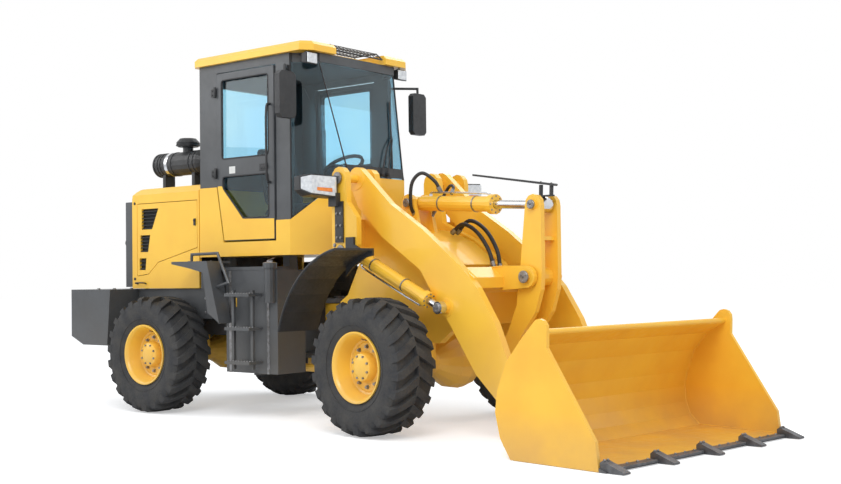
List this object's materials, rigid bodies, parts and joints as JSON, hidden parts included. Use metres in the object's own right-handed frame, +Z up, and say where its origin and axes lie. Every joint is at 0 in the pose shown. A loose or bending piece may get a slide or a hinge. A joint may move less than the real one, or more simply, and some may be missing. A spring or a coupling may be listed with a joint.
{
  "type": "wheel loader",
  "caption": "Compact articulated wheel loader with cab, Z-bar linkage and toothed bucket.",
  "frame": {"origin": "middle of the footprint, on the ground", "axes": "+X forwards, +Y to the machine's left, +Z up"},
  "size_m": [6.9165, 2.7349, 3.33],
  "materials": {
    "yellow": "gloss",
    "charcoal": "satin",
    "tyre": "matte",
    "glass": "clear",
    "rod_steel": "polished",
    "wear_steel": "worn",
    "black_plastic": "matte",
    "seat_cover": "matte",
    "casting": "rough"
  },
  "bodies": {
    "rear_chassis": {"rear_frame": "charcoal", "counterweight": "charcoal", "hood": "yellow", "radiator_grille": "charcoal", "engine_block": "casting", "cab_body": "yellow", "cab_frame": "charcoal", "cab_roof": "yellow", "roof_guard": "black_plastic", "windscreen": "glass", "rear_window": "glass", "operator_seat": "seat_cover", "steering_console": "black_plastic", "air_cleaner": "black_plastic", "fuel_tank": "charcoal", "hydraulic_tank": "charcoal", "rear_axle": "yellow", "rear_fender_right": "charcoal", "rear_fender_left": "charcoal", "mirror_right": "black_plastic", "mirror_left": "black_plastic"},
    "front_chassis": {"front_frame": "yellow", "front_axle": "yellow", "front_fender_right": "black_plastic", "front_fender_left": "black_plastic", "headlamp_right": "black_plastic", "headlamp_left": "black_plastic"},
    "boom": {"boom": "yellow"},
    "bellcrank": {"bellcrank": "yellow"},
    "bucket_link": {"bucket_link": "yellow"},
    "bucket": {"bucket": "yellow", "bucket_teeth": "wear_steel"},
    "tilt_barrel": {"tilt_barrel": "yellow"},
    "tilt_rod": {"tilt_rod": "rod_steel", "level_indicator": "black_plastic"},
    "lift_barrel_right": {"lift_right_barrel": "yellow"},
    "lift_rod_right": {"lift_right_rod": "rod_steel"},
    "steer_barrel_right": {"steer_barrel_right": "yellow"},
    "steer_rod_right": {"steer_rod_right": "rod_steel"},
    "wheel_rear_right": {"tyre_rear_right": "tyre", "rim_rear_right": "yellow"},
    "wheel_front_right": {"tyre_front_right": "tyre", "rim_front_right": "yellow"},
    "cab_door_right": {"cab_door_right": "charcoal", "door_glass_right": "glass"},
    "hood_door_right": {"hood_door_right": "yellow"},
    "lift_barrel_left": {"lift_left_barrel": "yellow"},
    "lift_rod_left": {"lift_left_rod": "rod_steel"},
    "steer_barrel_left": {"steer_barrel_left": "yellow"},
    "steer_rod_left": {"steer_rod_left": "rod_steel"},
    "wheel_rear_left": {"tyre_rear_left": "tyre", "rim_rear_left": "yellow"},
    "wheel_front_left": {"tyre_front_left": "tyre", "rim_front_left": "yellow"},
    "cab_door_left": {"cab_door_left": "charcoal", "door_glass_left": "glass"},
    "hood_door_left": {"hood_door_left": "yellow"}
  },
  "joints": [
    {"name": "steer", "type": "hinge", "parent": "rear_chassis", "child": "front_chassis", "pos_m": [-0.67901, 0.2704, 0.77], "axis": [0, 0, 1], "range_deg": [-27.24, 42.76]},
    {"name": "boom_lift", "type": "hinge", "parent": "front_chassis", "child": "boom", "pos_m": [0.19293, 0.15158, 2.055], "axis": [-0.135, -0.9908, 0], "range_deg": [0, 84]},
    {"name": "bucket_tilt", "type": "hinge", "parent": "boom", "child": "bucket", "pos_m": [2.08544, -0.10631, 0.24], "axis": [-0.135, -0.9908, 0], "range_deg": [-126, 45]},
    {"name": "bellcrank_turn", "type": "hinge", "parent": "boom", "child": "bellcrank", "pos_m": [1.72874, -0.0577, 1.22], "axis": [-0.135, -0.9908, 0], "range_deg": [-17.55, 49.14]},
    {"name": "bucket_link_turn", "type": "hinge", "parent": "bellcrank", "child": "bucket_link", "pos_m": [1.4513, -0.0199, 0.58], "axis": [-0.135, -0.9908, 0], "range_deg": [-63, 22.5]},
    {"name": "tilt_cylinder_swing", "type": "hinge", "parent": "front_chassis", "child": "tilt_barrel", "pos_m": [0.37128, 0.12728, 1.86], "axis": [-0.135, -0.9908, 0], "range_deg": [0, 84.84]},
    {"name": "tilt_rod_slide", "type": "slide", "parent": "tilt_barrel", "child": "tilt_rod", "axis": [0.989, -0.1348, -0.0602], "range_m": [-0.4002, 0.1429]},
    {"name": "lift_cylinder_swing_right", "type": "hinge", "parent": "front_chassis", "child": "lift_barrel_right", "pos_m": [0.13174, -0.44562, 1.455], "axis": [-0.135, -0.9908, 0], "range_deg": [0, 81.06]},
    {"name": "lift_rod_slide_right", "type": "slide", "parent": "lift_barrel_right", "child": "lift_rod_right", "axis": [0.9031, -0.1231, -0.4115], "range_m": [0, 0.7917]},
    {"name": "lift_cylinder_swing_left", "type": "hinge", "parent": "front_chassis", "child": "lift_barrel_left", "pos_m": [0.29376, 0.74339, 1.455], "axis": [-0.135, -0.9908, 0], "range_deg": [0, 81.06]},
    {"name": "lift_rod_slide_left", "type": "slide", "parent": "lift_barrel_left", "child": "lift_rod_left", "axis": [0.9031, -0.1231, -0.4115], "range_m": [0, 0.7917]},
    {"name": "steer_cylinder_swing_right", "type": "hinge", "parent": "rear_chassis", "child": "steer_barrel_right", "pos_m": [-1.29901, -0.0096, 0.42], "axis": [0, 0, 1], "range_deg": [-10.67, 16.75]},
    {"name": "steer_rod_slide_right", "type": "slide", "parent": "steer_barrel_right", "child": "steer_rod_right", "axis": [0.9986, -0.0525, 0], "range_m": [-0.1259, 0.1977]},
    {"name": "steer_cylinder_swing_left", "type": "hinge", "parent": "rear_chassis", "child": "steer_barrel_left", "pos_m": [-1.29901, 0.5504, 0.42], "axis": [0, 0, 1], "range_deg": [-10.49, 16.47]},
    {"name": "steer_rod_slide_left", "type": "slide", "parent": "steer_barrel_left", "child": "steer_rod_left", "axis": [0.9986, -0.0536, 0], "range_m": [-0.2161, 0.1377]},
    {"name": "wheel_rear_right_spin", "type": "hinge", "parent": "rear_chassis", "child": "wheel_rear_right", "pos_m": [-2.15401, -0.6296, 0.5375], "axis": [0, 1, 0], "continuous": true},
    {"name": "wheel_front_right_spin", "type": "hinge", "parent": "front_chassis", "child": "wheel_front_right", "pos_m": [0.66096, -0.82052, 0.5375], "axis": [0.135, 0.9908, 0], "continuous": true},
    {"name": "cab_door_right_swing", "type": "hinge", "parent": "rear_chassis", "child": "cab_door_right", "pos_m": [-1.54301, -0.4356, 2.3], "axis": [0, 0, -1], "range_deg": [0, 100]},
    {"name": "hood_door_right_swing", "type": "hinge", "parent": "rear_chassis", "child": "hood_door_right", "pos_m": [-2.70901, -0.4336, 1.6], "axis": [0, 0, -1], "range_deg": [0, 80]},
    {"name": "wheel_rear_left_spin", "type": "hinge", "parent": "rear_chassis", "child": "wheel_rear_left", "pos_m": [-2.15401, 1.1704, 0.5375], "axis": [0, 1, 0], "continuous": true},
    {"name": "wheel_front_left_spin", "type": "hinge", "parent": "front_chassis", "child": "wheel_front_left", "pos_m": [0.90401, 0.963, 0.5375], "axis": [0.135, 0.9908, 0], "continuous": true},
    {"name": "cab_door_left_swing", "type": "hinge", "parent": "rear_chassis", "child": "cab_door_left", "pos_m": [-1.54301, 0.9764, 2.3], "axis": [0, 0, 1], "range_deg": [0, 100]},
    {"name": "hood_door_left_swing", "type": "hinge", "parent": "rear_chassis", "child": "hood_door_left", "pos_m": [-2.70901, 0.9744, 1.6], "axis": [0, 0, 1], "range_deg": [0, 80]}
  ],
  "couplings": [
    {"joint": "bellcrank_turn", "follows": "bucket_tilt", "ratio": -0.39},
    {"joint": "bucket_link_turn", "follows": "bucket_tilt", "ratio": 0.5},
    {"joint": "tilt_cylinder_swing", "follows": "boom_lift", "ratio": 1.01},
    {"joint": "tilt_rod_slide", "follows": "bucket_tilt", "m_per_rad": 0.182},
    {"joint": "lift_cylinder_swing_right", "follows": "boom_lift", "ratio": 0.965},
    {"joint": "lift_rod_slide_right", "follows": "boom_lift", "m_per_rad": 0.54},
    {"joint": "lift_cylinder_swing_left", "follows": "boom_lift", "ratio": 0.965},
    {"joint": "lift_rod_slide_left", "follows": "boom_lift", "m_per_rad": 0.54},
    {"joint": "steer_cylinder_swing_right", "follows": "steer", "ratio": 0.3917},
    {"joint": "steer_rod_slide_right", "follows": "steer", "m_per_rad": 0.2649},
    {"joint": "steer_cylinder_swing_left", "follows": "steer", "ratio": 0.38526},
    {"joint": "steer_rod_slide_left", "follows": "steer", "m_per_rad": -0.28954}
  ]
}
